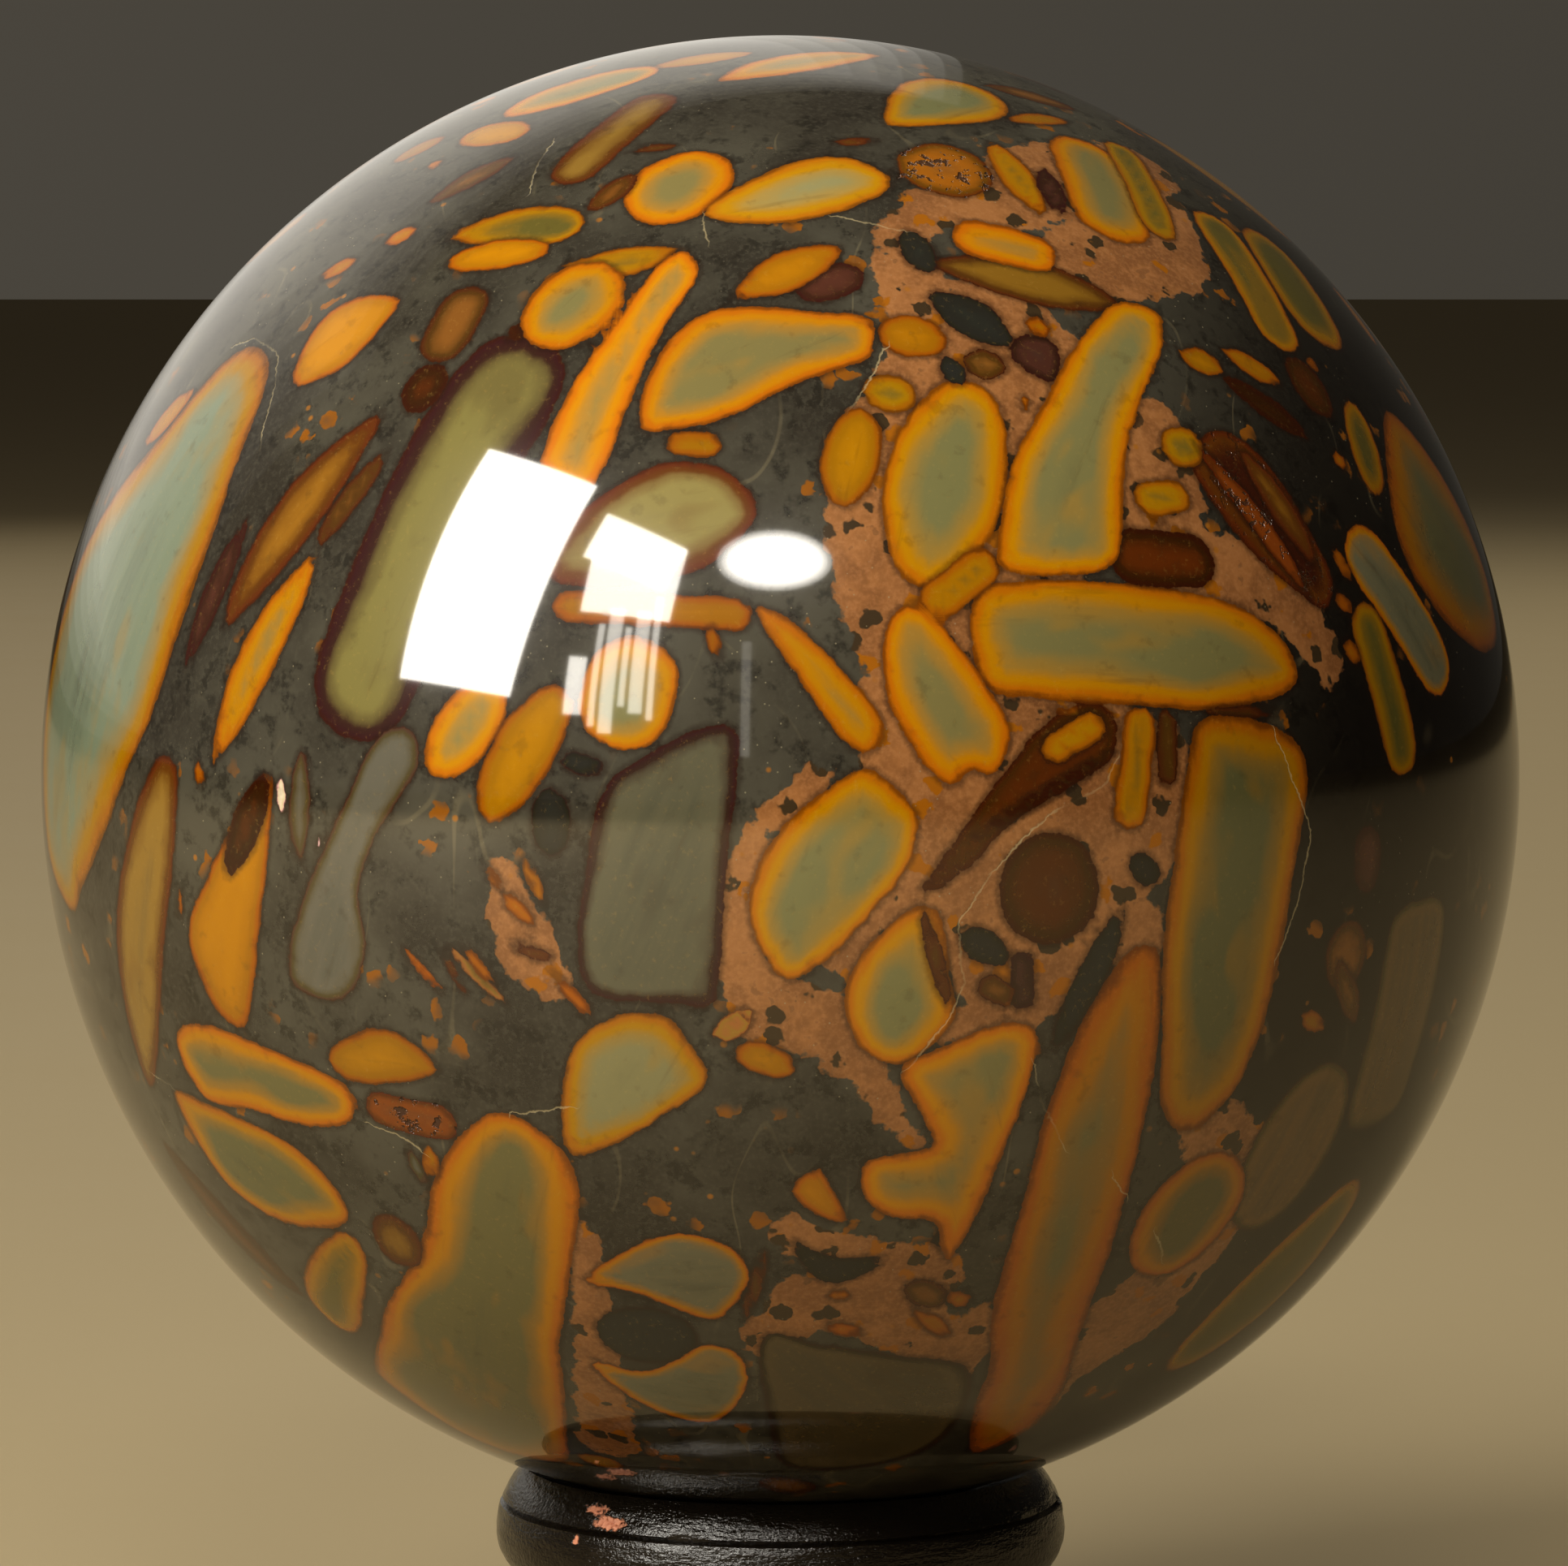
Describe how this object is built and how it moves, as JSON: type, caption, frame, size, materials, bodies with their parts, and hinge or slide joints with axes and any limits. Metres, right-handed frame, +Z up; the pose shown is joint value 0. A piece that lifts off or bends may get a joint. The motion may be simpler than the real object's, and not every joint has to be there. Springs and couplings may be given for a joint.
{
  "type": "stone sphere on a ring stand",
  "caption": "Solid polished stone sphere with a pebbled conglomerate figure, resting in a low turned ring stand of black lacquered wood.",
  "frame": {"origin": "middle of the stand's underside", "axes": "+Z up through the middle of the ball, -Y the side that faces the viewer"},
  "size_m": [0.16, 0.16, 0.1874],
  "materials": {
    "stone": "mirror polish",
    "lacquered_wood": "black gloss lacquer, brushed"
  },
  "bodies": {
    "root": {"ring_stand": "lacquered_wood", "stone_ball": "stone"}
  },
  "joints": []
}
